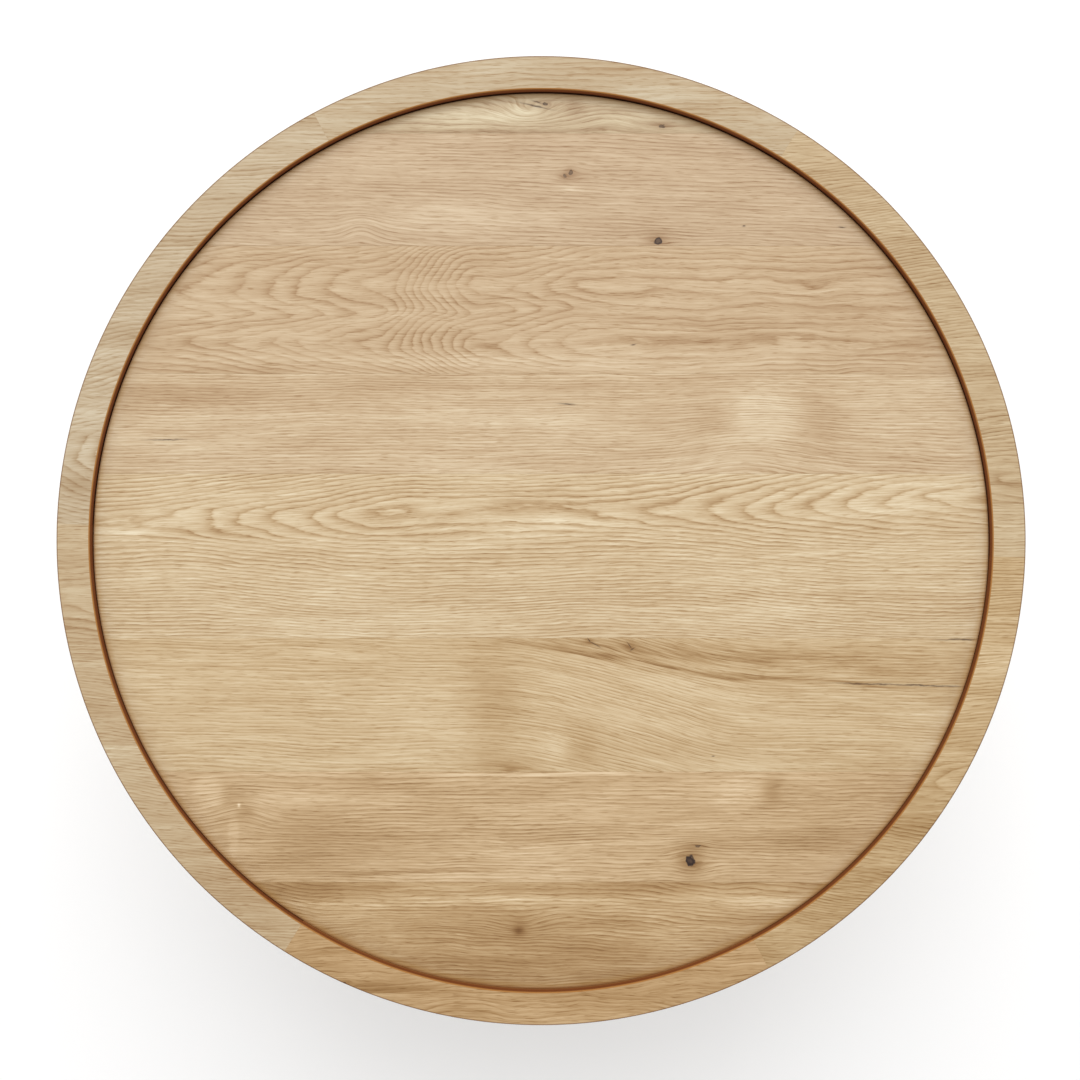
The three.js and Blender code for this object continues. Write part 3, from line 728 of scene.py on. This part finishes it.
def coated(name):
    """Black powder coat: an orange-peel skin, a little dust-grey, and satin."""
    made, tree, shader = material(name)
    place = surface(tree)
    peel = noise(tree, place, (1.1, 1.1, 1.1), 3, 2.0)
    cloud = noise(tree, place, (60, 60, 60), 4, 3.0)
    speck = noise(tree, place, (2.4, 2.4, 2.4), 5, 1.0)
    base = mixed(tree, cloud * 1.6 + 0.5, colour(36, 37, 41), colour(50, 50, 53))
    feed(shader.inputs["Base Color"], mixed(tree, speck.step(0.2, 0.3) * 0.4, base, colour(84, 84, 86)))
    feed(shader.inputs["Roughness"], peel * 0.3 + cloud * 0.2 + 0.48)
    relief(tree, shader, peel * 0.08)
    return made


BLACK = coated("black_powder_coat")


def disc(radius, low, high, ease, count=160):
    """The outlines of a round slab whose two arrises are rounded by ease: a quarter circle at each."""
    angle = np.linspace(0, 2 * np.pi, count, endpoint=False)
    ring = np.stack([np.cos(angle), np.sin(angle)], 1)
    turn = np.radians(np.linspace(0, 90, 5))
    sizes = [(radius - ease * (1 - math.sin(a)), low + ease * (1 - math.cos(a))) for a in turn]
    sizes += [(radius - ease * (1 - math.cos(a)), high - ease * (1 - math.sin(a))) for a in turn]
    return [level(ring * size, height) for size, height in sizes]


def hexed(x, y, across_flats, height, trim=0.0):
    """A hexagon as a ring of SIDES points, whose corners a cone has trimmed.

    Along a flat, the radius is half the width across the flats over the cosine of the angle from its middle.
    Each point is higher by trim times its distance past the flats.
    """
    angle = np.linspace(0, 2 * np.pi, SIDES, endpoint=False)
    radius = across_flats / 2 / np.cos((angle + np.pi / 6) % (np.pi / 3) - np.pi / 6)
    ring = circle(x, y, radius, height)
    ring[:, 2] += trim * (radius - across_flats / 2)
    return ring


(_, _, boss_low), (plate_radius, _, plate_high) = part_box("top_plate")
plate_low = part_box("column_stave_1")[1].z
boss_radius, boss_bore, weld = 15 * MM, 8.4 * MM, 4 * MM
turn = np.radians(np.linspace(0, 90, 6))
boss = (  # down the fillet weld, round the boss's mouth and up the tapped bore
    [(boss_radius + weld * (1 - math.sin(a)), plate_low - weld * (1 - math.cos(a))) for a in turn]
    + [(boss_radius, boss_low + 1 * MM), (boss_radius - 1 * MM, boss_low), (boss_bore + 1 * MM, boss_low)]
    + [(boss_bore, boss_low + 1 * MM), (boss_bore, plate_high - 2 * MM)]
)
bolt_places = []
for number in range(1, 7):
    (left, front, low), (right, back, tip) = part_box(f"plate_screw_{number}")
    bolt_places.append(((left + right) / 2, (front + back) / 2, low, tip))
holes = [turned(0, 0, boss)] + [
    turned(x, y, [(5.0 * MM, plate_low), (4.6 * MM, plate_low + 0.4 * MM), (4.6 * MM, plate_high)])
    for x, y, _, _ in bolt_places
]
plate = pierced("steel_top_plate", disc(plate_radius, plate_low, plate_high, 0.8 * MM), holes)
fit(plate, "top_plate", BLACK)

for number, (x, y, low, tip) in enumerate(bolt_places, 1):
    across = 13 * MM
    face = circle(x, y, 0.46 * across, low)
    outlines = [
        circle(x, y, 0.2 * across, low + 0.3 * MM), circle(x, y, 0.32 * across, low + 0.3 * MM),
        circle(x, y, 0.36 * across, low), face,
        hexed(x, y, across, low + 0.25 * MM, trim=0.5), hexed(x, y, across, plate_low - 0.1 * MM),
        hexed(x, y, across - 0.3 * MM, plate_low), circle(x, y, 4 * MM, plate_low),
        circle(x, y, 4 * MM, tip - 6 * MM), circle(x, y, 0.8 * MM, tip),
    ]
    fit(loft(f"coach_screw_{number}", outlines), f"plate_screw_{number}", ZINC)


# -------- column
# Eight staves of solid oak, bevelled and glued into a tube, then turned round outside. A fine vee is left
# along each joint, and both ends are eased.

STAVES = 8
column_low, column_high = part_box("column_stave_1")[0].z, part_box("column_stave_1")[1].z
column_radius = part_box("column_stave_1")[1].x
bore_flat, vee_depth = 50 * MM, 1.2 * MM
vee_turn = 0.9  # half a vee's width, in degrees


def stave(start, span, inset, height):
    """The section of a stave: an arc of the column between two vees, and a flat inside."""
    inner = bore_flat / math.cos(math.radians(span / 2))
    arc = np.linspace(start + vee_turn, start + span - vee_turn, 25)
    half = np.array([vee_turn * 0.5, vee_turn * 0.15])
    stop = start + span
    angle = np.concatenate([[start, start], start + half[::-1], arc, stop - half, [stop, stop]])
    angle = np.radians(angle)
    valley = column_radius - vee_depth * np.array([1.0, 0.85, 0.45])
    radius = np.concatenate([[inner], valley, np.full(len(arc), column_radius), valley[::-1], [inner]])
    radius = np.where(radius > inner, radius - inset, radius)
    return level(radius[:, None] * np.stack([np.cos(angle), np.sin(angle)], 1), height)


for number in range(1, STAVES + 1):
    span = 360 / STAVES
    start = (number - 1) * span
    outlines = [
        stave(start, span, inset * MM, height)
        for inset, height in (
            (0.8, column_low), (0.3, column_low + 0.4 * MM), (0.0, column_low + 1.2 * MM),
            (0.0, column_high - 1.2 * MM), (0.3, column_high - 0.4 * MM), (0.8, column_high),
        )
    ]
    # The pith of each stave's tree lies behind it, further off and more to one side from stave to stave.
    facing = math.radians(start + span / 2 + (number * 37 % 50) - 25)
    depth = 40 + number * 23 % 70
    pith_x, pith_y = ((column_radius / MM - depth) * f(facing) for f in (math.cos, math.sin))
    finish = oak(
        f"oak_stave_{number}", pale=(191 - number % 3 * 3, 169 - number % 3 * 4, 134 - number % 3 * 5),
        lobes=((pith_x, depth, 0),), top=pith_y + depth, spacing=3.0 + number % 3 * 0.4,
        flames=((-100 + 40 * (number % 4), 760, 4 + number * 3 % 5),), figure=0.46, cloud=0.4,
        seed=30 + number, grain="ZXY",
    )
    fit(loft(f"column_stave_turned_{number}", outlines), f"column_stave_{number}", finish)


# -------- spigots
# Two discs of birch plywood, which centre the column's ends on the plinth and on the top plate's boss.

PLY = 3.0  # the pitch of two glue lines, in millimetres


def plies(name):
    """Plywood: thin sheets laid up flat, pale and brown by turns, with dark glue lines between them."""
    made, tree, shader = material(name)
    place = surface(tree)
    sheet = axes(tree, place)[2] * (1 / PLY)
    part = sheet.maths("FRACT")
    turned_over = sheet.maths("PINGPONG", 1.0).maths("GREATER_THAN", 0.5)
    grain = noise(tree, place, (40, 1.2, 1.2), 6, 3.0)
    base = mixed(tree, turned_over * 0.5 + grain, colour(206, 184, 146), colour(168, 136, 96))
    base = mixed(tree, part.step(0.06, 0.0), base, colour(84, 60, 42))
    feed(shader.inputs["Base Color"], base)
    feed(shader.inputs["Roughness"], grain * 0.3 + 0.72)
    relief(tree, shader, grain * 0.1 - part.step(0.06, 0.0) * 0.05)
    return made


def eased_hole(x, y, radius, low, high, ease):
    """A hole right through, with both its arrises eased."""
    wide = radius + ease
    return turned(x, y, [(wide, low), (radius, low + ease), (radius, high - ease), (wide, high)])


PLYWOOD = plies("birch_plywood")
for node, hole in (("spigot_lower", 9 * MM), ("spigot_upper", 16 * MM)):
    (_, _, low), (radius, _, high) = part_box(node)
    ease = 0.6 * MM
    holes = [eased_hole(0, 0, hole, low, high, ease)]
    fit(pierced(f"{node}_plywood", disc(radius, low, high, ease), holes), node, PLYWOOD)


# -------- tie rod
# A zinc-plated steel rod, threaded at both ends, from the boss under the panel to a nut in the plinth's
# pocket. A washer under the nut spreads its pull.

def threaded(x, y, radius, low, high, pitch, depth):
    """Rings of a right-handed thread: the radius falls by depth times (1 - cos(turns up - angle)) / 2."""
    angle = np.linspace(0, 2 * np.pi, SIDES, endpoint=False)
    heights = np.arange(low, high, pitch / 6)
    fade = np.clip((high - heights) / pitch, 0, 1)
    return [
        circle(x, y, radius - share * depth * (1 - np.cos(2 * np.pi * height / pitch - angle)) / 2, height)
        for height, share in zip(heights, fade)
    ]


(_, _, rod_low), (rod_radius, _, rod_high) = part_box("tie_rod")
pitch, thread_depth, lead = 2 * MM, 1.0 * MM, 1.2 * MM
rod = (
    [circle(0, 0, rod_radius - lead, rod_low)]
    + threaded(0, 0, rod_radius, rod_low + lead, rod_low + 50 * MM, pitch, thread_depth)
    + threaded(0, 0, rod_radius, rod_high - 40 * MM, rod_high - lead, pitch, thread_depth)
    + [circle(0, 0, rod_radius - lead, rod_high)]
)
fit(loft("tie_rod_threaded", rod), "tie_rod", ZINC)

(_, _, low), (radius, _, high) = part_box("tie_rod_washer")
ease = 0.3 * MM
hole = eased_hole(0, 0, 8.6 * MM, low, high, ease)
washer = pierced("tie_rod_flat_washer", disc(radius, low, high, ease, SIDES * 2), [hole])
fit(washer, "tie_rod_washer", ZINC)

low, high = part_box("tie_rod_nut")[0].z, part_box("tie_rod_nut")[1].z
across = 24 * MM
nut = [
    circle(0, 0, 0.475 * across, low), hexed(0, 0, across, low + 0.2 * MM, trim=0.55),
    hexed(0, 0, across, high - 0.2 * MM, trim=-0.55), circle(0, 0, 0.475 * across, high),
]
hole = eased_hole(0, 0, rod_radius + 0.3 * MM, low, high, lead)
fit(pierced("tie_rod_hex_nut", nut, [hole]), "tie_rod_nut", ZINC)


# -------- plinth
# Four boards of solid oak, glued edge to edge and turned to a disc with a rounded top edge. It is bored from
# below for the tie rod's nut, the tee nuts of the glides and the ballast's screws.

plinth_low, plinth_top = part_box("plinth_board_2")[0].z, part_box("plinth_board_2")[1].z
plinth_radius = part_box("plinth_board_2")[1].x
top_round, chamfer = 12 * MM, 4 * MM
turn = np.radians(np.linspace(0, 90, 12))
plinth_profile = [  # setback of the edge, height
    (chamfer * back, plinth_low + chamfer * up) for back, up in ((1, 0), (0.45, 0.35), (0.1, 0.8), (0, 1.2))
] + [(top_round * (1 - math.cos(a)), plinth_top - top_round * (1 - math.sin(a))) for a in turn]
glide_places = []
for number in range(1, 5):
    (left, front, _), (right, back, _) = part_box(f"glide_pad_{number}")
    glide_places.append(((left + right) / 2, (front + back) / 2))
ballast_places = []
for number in range(1, 4):
    (left, front, low), (right, back, tip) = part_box(f"ballast_screw_{number}")
    ballast_places.append(((left + right) / 2, (front + back) / 2, low, tip))
pocket, rod_bore, pocket_roof = 25 * MM, 9 * MM, plinth_low + 20 * MM
sockets = [
    (0, 0, [(pocket, plinth_low), (pocket, pocket_roof), (rod_bore, pocket_roof), (rod_bore, plinth_top)]),
]
for places, radius, deep in ((glide_places, 6.8 * MM, 28 * MM), (ballast_places, 2.8 * MM, 16 * MM)):
    sockets += [(x, y, [(radius, plinth_low), (radius, plinth_low + deep)]) for x, y, *_ in places]
PLINTH_PLANKS = [
    dict(lobes=((190, 50, 0),), flames=((-300, 240, 7),), cloud=0.5, seed=41),
    dict(pale=(188, 165, 130), lobes=((-60, 70, 0),), flames=((60, 320, 5),), seed=42),
    dict(
        lobes=((-120, 40, 0),), flames=((-260, 300, 9),), figure=0.6, knots=((-214, -96, 3.6, 3.0, 0.8),),
        seed=43,
    ),
    dict(pale=(187, 163, 127), lobes=((-330, 60, 0),), cloud=0.6, seed=44),
]
for number, plank in enumerate(PLINTH_PLANKS, 1):
    node = f"plinth_board_{number}"
    (_, low, _), (_, high, _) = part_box(node)
    glue = 0.1 * MM
    edge_low = -1.0 if number == len(PLINTH_PLANKS) else low + glue
    edge_high = 1.0 if number == 1 else high - glue
    outlines = [
        level(strip(plinth_radius - setback, edge_low, edge_high), height)
        for setback, height in plinth_profile
    ]
    holes = [turned(x, y, profile) for x, y, profile in sockets if low < y < high]
    finish = oak(f"oak_plinth_{number}", top=plinth_top / MM, **plank)
    fit(pierced(f"plinth_plank_{number}", outlines, holes), node, finish)


# -------- ballast
# A steel disc under the plinth that keeps the table from tipping, powder-coated black. It is open at the
# middle for the nut and round each glide, and held by three pan-head screws.

(_, _, ballast_low), (ballast_radius, _, ballast_high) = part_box("ballast_plate")
openings = [((0, 0), 28 * MM)] + [(at, 15 * MM) for at in glide_places]
openings += [(at, 3 * MM) for at in ballast_places]
holes = [eased_hole(x, y, radius, ballast_low, ballast_high, 0.5 * MM) for (x, y, *_), radius in openings]
plate = pierced("steel_ballast_plate", disc(ballast_radius, ballast_low, ballast_high, 0.8 * MM), holes)
fit(plate, "ballast_plate", BLACK)
for number, (x, y, low, tip) in enumerate(ballast_places, 1):
    outlines = pan_head(x, y, ballast_low, 4.8 * MM, ballast_low - low, 2.5 * MM, tip)
    fit(loft(f"ballast_pan_screw_{number}", outlines), f"ballast_screw_{number}", ZINC)


# -------- glides
# Four levelling feet. A tee nut is driven into the plinth, a zinc-plated screw turns in it by a hexagon, and
# the screw's foot turns in a black nylon pad, which slides up and down with it but doesn't turn.

def moulded_nylon(name):
    """Black nylon with a fine spark-eroded grain, greyer and duller where it is scuffed near the floor."""
    made, tree, shader = material(name)
    place = surface(tree)
    grain = noise(tree, place, (0.7, 0.7, 0.7), 7, 1.0)
    scuff = noise(tree, place, (6, 6, 1.5), 8, 3.0)
    low = axes(tree, place)[2].step(3.0, 0.0)
    base = mixed(tree, scuff + 0.5, colour(30, 30, 32), colour(46, 46, 48))
    worn = low * scuff.step(-0.05, 0.15) * 0.6
    feed(shader.inputs["Base Color"], mixed(tree, worn, base, colour(92, 90, 86)))
    feed(shader.inputs["Roughness"], grain * 0.2 + worn * 0.3 + 0.5)
    relief(tree, shader, grain * 0.08)
    return made


NYLON = moulded_nylon("black_nylon")
for number, (x, y) in enumerate(glide_places, 1):
    radius, height = 22 * MM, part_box(f"glide_pad_{number}")[1].z
    neck, socket = 3.6 * MM, 4.3 * MM
    edge = [  # in millimetres: setback, height
        (1.5, 0.0), (0.9, 0.15), (0.4, 0.5), (0.1, 1.0), (0, 1.6),
        (0.2, 3.0), (0.6, 4.4), (1.2, 5.1), (2.4, 5.7), (7.0, 6.9),
    ]
    foot = [(radius - setback * MM, rise * MM) for setback, rise in edge]
    mouth = [(9.6 * MM, 7.6 * MM), (8.6 * MM, 7.95 * MM), (8 * MM, height)]
    mouth += [(neck + 0.6 * MM, height), (neck, height - 0.6 * MM)]
    cup = [(neck, 5 * MM), (socket, 5 * MM), (socket, 3 * MM)]
    pad = loft(f"nylon_pad_{number}", turned(x, y, foot + mouth + cup))
    fit(pad, f"glide_pad_{number}", NYLON, f"glide_{number}")

    (_, _, low), (_, _, high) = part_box(f"glide_stem_{number}")
    hex_low, hex_high, across = 9 * MM, 18.1 * MM, 14 * MM
    thread, thread_pitch, thread_cut = 5 * MM, 1.5 * MM, 0.9 * MM
    button = [(3.6, low), (3.9, low + 0.3 * MM), (3.9, low + 1.2 * MM), (3.2, low + 1.2 * MM)]
    stem = turned(x, y, [(size * MM, at) for size, at in button + [(3.2, hex_low), (6.4, hex_low)]])
    stem += [hexed(x, y, across, hex_low + 0.2 * MM, trim=0.55)]
    stem += [hexed(x, y, across, hex_high - 0.2 * MM, trim=-0.55)]
    stem += [circle(x, y, 6.4 * MM, hex_high), circle(x, y, thread, hex_high)]
    stem += threaded(x, y, thread, hex_high + 0.1 * MM, high - 1 * MM, thread_pitch, thread_cut)[1:]
    stem += [circle(x, y, thread, high - 1 * MM), circle(x, y, thread - 1 * MM, high)]
    fit(loft(f"glide_screw_turned_{number}", stem), f"glide_stem_{number}", ZINC, f"glide_screw_{number}")

    (_, _, low), (_, _, high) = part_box(f"glide_tee_nut_{number}")
    hole, flange = 5.25 * MM, low + 1.6 * MM
    flanged = [(12.4, low), (12.9, low + 0.4 * MM), (13.0, flange - 0.4 * MM), (12.7, flange), (6.9, flange)]
    flanged += [(6.5, flange + 0.4 * MM), (6.5, high - 0.4 * MM), (6.2, high)]
    nut = [circle(x, y, size * MM, at) for size, at in flanged]
    through = turned(x, y, [(hole + 0.5 * MM, low), (hole, low + 0.5 * MM), (hole, high)])
    fit(pierced(f"tee_nut_pressed_{number}", nut, [through]), f"glide_tee_nut_{number}", ZINC)


# -------- room
# A pale floor, and soft light from the back as from a tall window. The eye is straight over the middle of the
# top, well above it.

EYE_HEIGHT, EYE_ASIDE, EYE_BACK = 1.392, -1.1 * MM, 0.6 * MM  # over the rim, along X and along Y
eye = bpy.data.cameras.new("eye")
eye.lens = 45.0
camera = bpy.data.objects.new("eye", eye)
camera.location = (EYE_ASIDE, EYE_BACK, rim_top + EYE_HEIGHT)
bpy.context.scene.collection.objects.link(camera)
bpy.context.scene.camera = camera

floor = shell("floor", [(-30, -30, 0), (30, -30, 0), (30, 30, 0), (-30, 30, 0)], [(0, 1, 2, 3)])
white, _, floor_shader = material("white_floor")
floor_shader.inputs["Base Color"].default_value = (0.93, 0.93, 0.93, 1)
floor_shader.inputs["Roughness"].default_value = 0.9
floor_shader.inputs["Specular IOR Level"].default_value = 0.1
floor.data.materials.append(white)


def softbox(name, place, target, size, power):
    """A square area light at a place, facing a target."""
    light = bpy.data.lights.new(name, "AREA")
    light.size, light.energy = size, power
    made = bpy.data.objects.new(name, light)
    made.location = place
    made.rotation_euler = (Vector(target) - Vector(place)).to_track_quat("-Z", "Y").to_euler()
    bpy.context.scene.collection.objects.link(made)


softbox("window", (0, 2.2, 4.2), (0, 0, rim_top), 2.6, 105)
sky = bpy.data.worlds.new("sky")
sky.use_nodes = True
sky.node_tree.nodes["Background"].inputs["Color"].default_value = (1.0, 1.0, 1.0, 1)
sky.node_tree.nodes["Background"].inputs["Strength"].default_value = 0.85
bpy.context.scene.world = sky
bpy.context.scene.view_settings.view_transform = "Standard"
